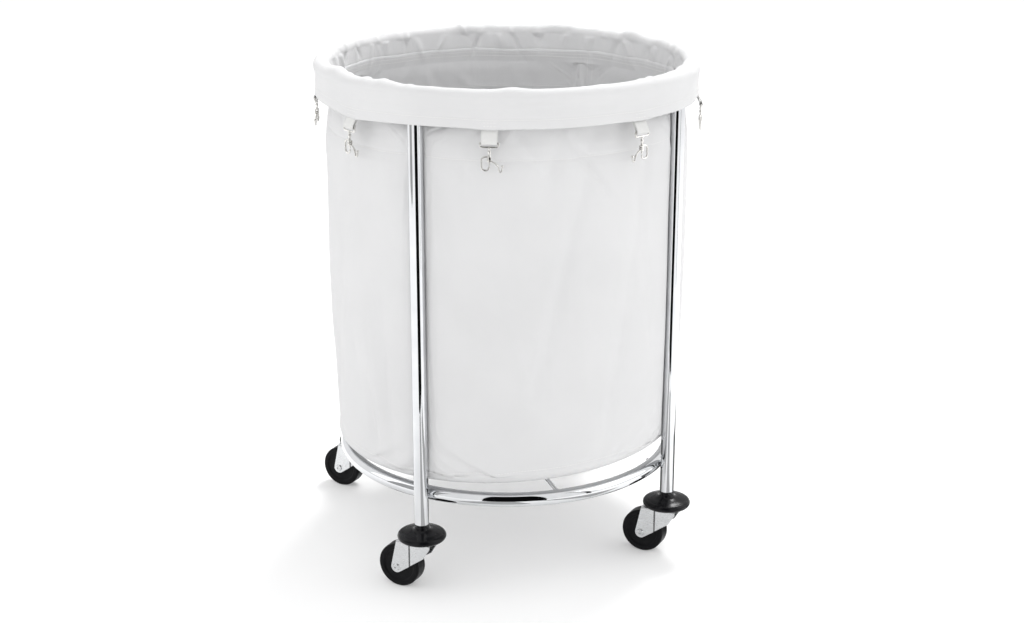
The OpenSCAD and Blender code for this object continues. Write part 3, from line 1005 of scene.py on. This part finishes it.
def sewn(lines):
    """Stitches along lines. A line is (points, side, closed); side is 1 to sew on the
    cloth's outer face and -1 on its inner face."""
    shape, faces = stitch()
    parts = []
    for points, side, closed in lines:
        places, t = along(points, 3.8 * MM, closed)
        out = places * (1, 1, 0)
        out = side * out / np.linalg.norm(out, axis=1)[:, None]
        up = np.cross(t, out)
        up /= np.linalg.norm(up, axis=1)[:, None]
        out = np.cross(up, t)
        for o, x, y, z in zip(places + out * (CLOTH / 2 + 0.05 * MM), t, up, out):
            parts.append((o + shape @ np.stack([x, y, z]), faces))
    return joined(parts)


def build_stitches(wall, cuff_rows):
    """Every visible row of stitches on the bag."""
    height = wall[:, 0, 2]

    def wall_row(z):
        """The row of the wall's points nearest to a height."""
        return wall[int(np.argmin(np.abs(height - z)))]

    def wall_column(angle, low, high):
        """The wall's points at an angle, between two heights."""
        c = int(round(angle / 360 * COLS)) % COLS
        rows = (wall[:, c, 2] > low) & (wall[:, c, 2] < high)
        return wall[rows][:, c]

    lines = [(wall_row(SEAM_Z - 2.0 * MM), -1, True), (wall_row(SEAM_Z - 7.0 * MM), -1, True),
             (wall_row(LINING_Z), 1, True), (wall_row(LINING_Z), -1, True), (wall[8], 1, True)]
    for offset in (-1.1, 1.1):
        for side in (1, -1):
            lines.append((wall_column(BACK_SEAM + offset, 0.16, SEAM_Z - 9 * MM), side, False))
    hem_row, tack_rows, tack_half = -9, (-4, -7), 2.1
    lines.append((cuff_rows[hem_row], 1, True))
    for i in range(1, HOOKS + 1):
        near = np.abs(away(ANGLES, hook_angle(i))) < tack_half
        for row in tack_rows:
            lines.append((cuff_rows[row][near], 1, False))
    verts, faces = sewn(lines)
    piece("stitches", verts, faces, "bag", THREAD, "canvas")


# ---------------------------------------------------------------- cuff and loops


def skirt_radius(angle):
    """Middle of the skirt: out over the posts and a little flatter between them."""
    flatter = 1.6 * MM * (1 - np.exp(-(from_post(angle) / 16) ** 2))
    return RING_R + TUBE_R + 0.2 * MM - flatter


def hook_angle(i):
    """Angle of hook i, counted from 1."""
    return 22.5 + 45 * (i - 1)


def skirt_edge(angle):
    """Height of the cuff's lower edge, pulled down a little by each tab."""
    pull = sum(np.exp(-(away(angle, hook_angle(i)) / 5) ** 2) for i in range(1, HOOKS + 1))
    dip = np.exp(-(away(angle, -21) / 12) ** 2)
    wave = 0.8 * np.sin(np.radians(3 * angle + 40)) + 0.5 * np.sin(np.radians(7 * angle))
    return CUFF_EDGE_Z - (1.6 * pull + 3.0 * dip - wave) * MM


def cuff_shape():
    """Points of the cuff, from the seam inside, over the ring and down to its edge."""
    over = TUBE_R + CLOTH / 2 + 0.3 * MM
    rise = 22 * MM
    lap = 6 * MM
    rows = []
    for dz in np.linspace(-lap, rise, 34):
        z = SEAM_Z + dz
        t = np.clip(dz / rise, 0, 1)
        tuck = 0.9 * MM * np.clip(1 - dz / (5 * MM), 0, 1)
        start = BAG_R - 0.4 * MM + tuck
        radius = start + t ** 1.5 * (RING_R - over - start)
        wave = seam_wave(ANGLES) * (1 - t) ** 2
        rows.append(cloth_points(ANGLES, radius + seam_shift(ANGLES, z), z + wave))
    for a in np.radians(np.linspace(176, 0, 40)):
        z = RING_Z + over * math.sin(a)
        fade = 0.5 - 0.5 * math.cos(a)
        bulge = seam_shift(ANGLES, z) * -math.cos(a)
        lift = np.maximum(fold_field(ANGLES, z, LUMPS) * MM, 0) * math.sin(a)
        lift = lift + np.abs(fold_field(ANGLES, z, GATHERS)) * MM * 0.6 * math.sin(a)
        r = over + (lift + bulge * fade) * (0.35 + 0.65 * fade)
        rows.append(cloth_points(ANGLES, RING_R + r * math.cos(a), RING_Z + r * math.sin(a)))
    top = skirt_radius(ANGLES)
    low = skirt_edge(ANGLES)
    for t in np.linspace(0, 1, 26)[1:]:
        z = RING_Z + t * (low - RING_Z)
        ease = np.clip(t / 0.35, 0, 1) ** 0.7
        radius = RING_R + over + ease * (top - RING_R - over)
        from_edge = (z - low) / (9 * MM)
        hem = 0.5 * MM * np.clip(1.3 - from_edge, 0, 1)
        rows.append(cloth_points(ANGLES, radius + hem + ripple(ANGLES, z) * t, z))
    return clear_of_ring(np.array(rows))


def build_cuff():
    """The cuff and the points that it is made from."""
    shape = cuff_shape()
    faces, corners = grid(len(shape), COLS)
    first = shape[:, 0]
    down = np.concatenate([[0], np.cumsum(np.linalg.norm(np.diff(first, axis=0), axis=1))])
    cuff = piece("cuff", shape.reshape(-1, 3), faces, "bag", CANVAS, "canvas",
                 uv_of(corners, 2 * math.pi * RING_R, down))
    thicken(cuff, CLOTH)
    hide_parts("bag_cuff")
    return cuff, shape


BAR_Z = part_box("hook_1")[1].z - 1.5 * MM
BAR_CIRCLE_R = RING_R + TUBE_R + 3.15 * MM


def hook_place(i):
    """Frame of hook i: +X along the cuff, -Y outwards, origin on its bar."""
    return spin_z(hook_angle(i), BAR_CIRCLE_R, BAR_Z)


def tab_mesh(i):
    """Webbing loop: it comes out from behind the skirt, goes round the hook's bar and
    back up. Drawn as [outwards, height] from the bar."""
    half = 10 * MM
    path = smooth_path(np.array([[-7.4, 26], [-7.3, 17], [-5.6, 10], [-2.6, 3.5], [-1.9, 0],
                                 [-1.3, -1.5], [0, -2.0], [1.35, -1.5], [1.95, 0],
                                 [1.0, 3.5], [-2.8, 9.5], [-5.9, 14.5], [-6.1, 26]]) * MM, 5)
    t = np.gradient(path, axis=0)
    n = np.stack([t[:, 1], -t[:, 0]], 1) / np.linalg.norm(t, axis=1)[:, None]
    half_thick = 0.45 * MM
    run = np.concatenate([[0], np.cumsum(np.linalg.norm(np.diff(path, axis=0), axis=1))])
    rows, places = [], []
    for side in (1, -1):
        off = path + side * n * half_thick
        for x in np.linspace(-half, half, 9)[::side]:
            places.append(x)
            rows.append(np.stack([np.full(len(path), x), -off[:, 0], off[:, 1]], 1))
    faces, corners = grid(len(rows), len(path), wrap=False, close=True)
    uvs = [(places[r % len(rows)], run[c]) for face in corners for r, c in face]
    ends = [tuple(r * len(path) for r in range(len(rows)))[::-1],
            tuple((r + 1) * len(path) - 1 for r in range(len(rows)))]
    uvs += [(0.0, 0.0)] * (2 * len(rows))
    part = turned((np.concatenate(rows), faces + ends), hook_place(i))
    return part[0], part[1], uvs


def build_tabs():
    """All the webbing loops as one piece."""
    verts, faces, uvs = [], [], []
    for i in range(1, HOOKS + 1):
        v, f, uv = tab_mesh(i)
        faces += [tuple(n + len(verts) for n in face) for face in f]
        verts += list(v)
        uvs += uv
    made = piece("tabs", verts, faces, "bag", WEBBING, "webbing", uvs)
    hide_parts("webbing_tabs")
    return made


# ------------------------------------------------------------------------- hooks


def facing(i):
    """1 if the hook's thumb lever points along +X of its frame, else -1."""
    a = math.radians(hook_angle(i))
    along = middle(f"trigger_{i}", 0) * math.cos(a) + middle(f"trigger_{i}", 1) * math.sin(a)
    return 1 if along > 0 else -1


def flat_points(points):
    """[u, drop] in millimetres to points in the hook's plane."""
    p = np.asarray(points, float) * MM
    return np.stack([p[:, 0], np.zeros(len(p)), p[:, 1]], 1)


PIN_Z = -21.5


def on_pin(profile, sides, x=0.0, z=PIN_Z):
    """A turned part that lies across the hook's plane. Its profile is in millimetres."""
    part = lathe(np.array(profile) * MM, sides, closed=False)
    return turned(part, Matrix.Translation((x * MM, 0, z * MM))
                  @ Matrix.Rotation(math.pi / 2, 4, "X"))


def hook_parts():
    """Eye, swivel neck, hook and the ears that hold the trigger's pin."""
    wire = 1.15 * MM
    eye = smooth_path(flat_points(
        [[-10.4, 0], [-5, 0], [0, 0], [5, 0], [10.4, 0], [11.2, -0.7], [11.3, -2.4],
         [10.9, -4.1], [9.2, -5.1], [5, -5.3], [0, -5.4], [-5, -5.3], [-9.2, -5.1],
         [-10.9, -4.1], [-11.3, -2.4], [-11.2, -0.7]]), 4, closed=True)
    neck = lathe(np.array([[0.05, -5], [1.5, -5.4], [2.1, -6.4], [2.1, -7.3], [1.25, -8.0],
                           [1.25, -9.0], [1.9, -9.6], [2.2, -10.6], [1.9, -12.2],
                           [1.45, -13.5], [1.4, -15], [2.0, -16.4], [2.3, -17.6],
                           [0.05, -18.4]]) * MM, 24, closed=False)
    curve = smooth_path(flat_points(
        [[0, -16.6], [-3, -17.0], [-6.6, -17.6], [-9.0, -19.8], [-9.5, -23], [-9.5, -27],
         [-9.5, -29.5], [-8.9, -31.8], [-7.1, -33.6], [-4.75, -34.25], [-2.4, -33.6],
         [-0.7, -31.8], [-0.1, -29.9]]), 5)
    curve, radii = round_tip(curve, 1.25 * MM)
    ears = []
    outline = np.concatenate([arc((0, PIN_Z), 2.4, 180, 360, 13), [[2.1, -17.2], [-2.1, -17.2]]])
    for low in (-2.5, 1.5):
        ears.append(slab(outline * MM, low * MM, (low + 1) * MM, 0.25 * MM))
    pin = on_pin([[0.05, -2.75], [0.7, -2.75], [0.95, -2.5], [0.95, 2.5], [0.7, 2.75],
                  [0.05, 2.75]], 20)
    return joined([sweep(eye, wire, 14, closed=True), neck, sweep(curve, radii, 14), *ears, pin])


def trigger_parts():
    """Gate, hub and thumb lever with its knob."""
    gate, gate_r = round_tip(flat_points([[0, PIN_Z], [0, -24], [0, -26.9]]), 0.95 * MM)
    lever = smooth_path(flat_points(
        [[0.6, -21.9], [3, -23.0], [6, -24.6], [8.6, -26.6], [10.4, -28.8], [11.4, -32.0],
         [12.2, -34.8], [13.6, -35.8], [15.1, -34.6], [15.7, -32.0], [15.8, -29.4]]), 5)
    lever, lever_r = round_tip(lever, 0.95 * MM)
    hub = on_pin([[0.05, -1.35], [1.9, -1.35], [2.2, -1.0], [2.2, 1.0], [1.9, 1.35],
                  [0.05, 1.35]], 24)
    knob = on_pin([[0.05, -2.1], [0.9, -2.0], [1.5, -1.4], [1.75, -0.4], [1.75, 0.4],
                   [1.5, 1.4], [0.9, 2.0], [0.05, 2.1]], 20, x=15.8, z=-29)
    return joined([sweep(gate, gate_r, 12), sweep(lever, lever_r, 12, flat=1.4), hub, knob])


def build_hooks():
    """Every hook and trigger, each on its own body."""
    hook, trigger = hook_parts(), trigger_parts()
    for i in range(1, HOOKS + 1):
        place = hook_place(i)
        if facing(i) < 0:
            place = place @ Matrix.Rotation(math.pi, 4, "Z")
        h = piece(f"snap_hook_{i}", *turned(hook, place), f"hook_{i}", NICKEL, "nickel")
        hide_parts(f"hook_{i}")
        t = piece(f"snap_trigger_{i}", *turned(trigger, place), f"trigger_{i}", NICKEL,
                  "nickel")
        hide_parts(f"trigger_{i}")


# ------------------------------------------------------------------------ studio


VIEW_AZIMUTH = 27.3
VIEW_DOWN = 18.29
VIEW_OFF = 0.16
CAMERA_D = 2.364
CAMERA_H = 1.096
LENS = 62.8


def studio_place(side, forward, height):
    """A place so far to the right of the view and so far towards the camera."""
    a = math.radians(VIEW_AZIMUTH)
    return (side * math.cos(a) + forward * math.sin(a),
            side * math.sin(a) - forward * math.cos(a), height)


def toward(azimuth, distance, height):
    """A place at an azimuth from the camera's side of the axis."""
    a = math.radians(azimuth)
    return studio_place(distance * math.sin(a), distance * math.cos(a), height)


def card(name, corners, tone):
    """A panel of the studio, of an even grey, that only reflections see."""
    mesh = bpy.data.meshes.new(name)
    mesh.from_pydata(corners, [], [(0, 1, 2, 3)])
    obj = linked(name, mesh)
    material = bpy.data.materials.new(name)
    material.use_nodes = True
    shader = material.node_tree.nodes["Principled BSDF"]
    shader.inputs["Base Color"].default_value = (0, 0, 0, 1)
    shader.inputs["Specular IOR Level"].default_value = 0.0
    shader.inputs["Emission Color"].default_value = (tone, tone, tone, 1)
    shader.inputs["Emission Strength"].default_value = 1.0
    mesh.materials.append(material)
    obj.visible_camera = False
    obj.visible_diffuse = False
    obj.visible_shadow = False


def upright(azimuth, distance, width, low, high):
    """Corners of a standing panel that faces the frame's axis."""
    a = math.radians(azimuth)
    left, right = ((distance * math.sin(a) + w * math.cos(a),
                    distance * math.cos(a) - w * math.sin(a)) for w in (-width / 2, width / 2))
    return [studio_place(*left, low), studio_place(*right, low),
            studio_place(*right, high), studio_place(*left, high)]


def lying(side, forward):
    """Corners of a panel on the floor between two sides and two distances forward."""
    height = 3 * MM
    return [studio_place(side[i], forward[j], height) for i, j in ((0, 0), (1, 0), (1, 1), (0, 1))]


def build_studio():
    """White surroundings, a pale floor that glows with painted light, soft lights and grey panels
    for the chrome.
    """
    scene = bpy.context.scene
    scene.view_settings.view_transform = "Standard"
    world = bpy.data.worlds.new("studio")
    world.use_nodes = True
    sky = world.node_tree.nodes["Background"]
    sky.inputs["Color"].default_value = (1.0, 1.0, 1.0, 1)
    sky.inputs["Strength"].default_value = 1.0
    scene.world = world
    mesh = bpy.data.meshes.new("floor")
    far = 12
    mesh.from_pydata([(-far, -far, 0), (far, -far, 0), (far, far, 0), (-far, far, 0)], [],
                     [(0, 1, 2, 3)])
    floor = linked("floor", mesh)
    paint = Nodes("floor")
    paint.colour(paint.noise(3, 3), (0.72, 0.72, 0.72), (0.74, 0.74, 0.74))
    # Painted light: the floor glows, less strongly near the hamper, which leaves a painted shade
    # round its foot.
    paint.set(Roughness=0.9, Specular_IOR_Level=0.2, Emission_Color=(1, 1, 1, 1))
    near = paint.node("ShaderNodeTexGradient", Vector=paint.stretched((0.5, 0.5, 0.5)))
    near.gradient_type = "SPHERICAL"
    paint.link(paint.ramp(near.outputs["Fac"], 0.30, 0.21, 0.40, 0.75),
               paint.shader.inputs["Emission Strength"])
    mesh.materials.append(paint.material)
    light("side_left", toward(-78, 2.4, 1.6), 2.2, 9)
    light("side_right", toward(80, 2.4, 1.6), 2.2, 16)
    light("back_top", toward(155, 1.5, 2.4), 1.0, 50)
    light("front_fill", toward(-20, 2.4, 1.3), 1.6, 7).visible_glossy = False
    card("dark_front", upright(4, 0.86, 0.56, 0, 1.7), 0.004)
    card("dark_line", upright(50, 1.5, 0.09, 0, 2.1), 0.03)
    card("grey_left", upright(-62, 2.2, 1.5, 0, 2.5), 0.45)
    card("grey_back", upright(180, 2.6, 3.0, 0, 2.5), 0.55)
    card("low_under", lying((-0.20, 0.65), (-0.35, 0.08)), 0.15)
    card("low_front", lying((-0.15, 0.06), (0.30, 0.85)), 0.5)
    card("low_right", lying((0.18, 0.37), (0.20, 0.75)), 0.5)


def light(name, at, size, power):
    """A square soft light that shines on the middle of the hamper."""
    data = bpy.data.lights.new(name, "AREA")
    data.shape = "SQUARE"
    data.size = size
    data.energy = power
    lamp = linked(name, data)
    lamp.location = at
    target = Vector((0, 0, 0.35))
    lamp.rotation_euler = (target - Vector(at)).to_track_quat("-Z", "Y").to_euler()
    return lamp


def build_camera():
    """Camera at the photo's viewing angle."""
    data = bpy.data.cameras.new("camera")
    data.sensor_width = 36
    data.lens = LENS
    camera = linked("camera", data)
    camera.location = toward(0, CAMERA_D, CAMERA_H)
    camera.rotation_euler = (math.radians(90 - VIEW_DOWN), 0,
                             math.radians(VIEW_AZIMUTH - VIEW_OFF))
    bpy.context.scene.camera = camera


build_frame()
build_casters()
cuff, cuff_rows = build_cuff()
wall_rows = build_bag()
build_stitches(wall_rows, cuff_rows)
tabs = build_tabs()
build_hooks()
build_studio()
build_camera()
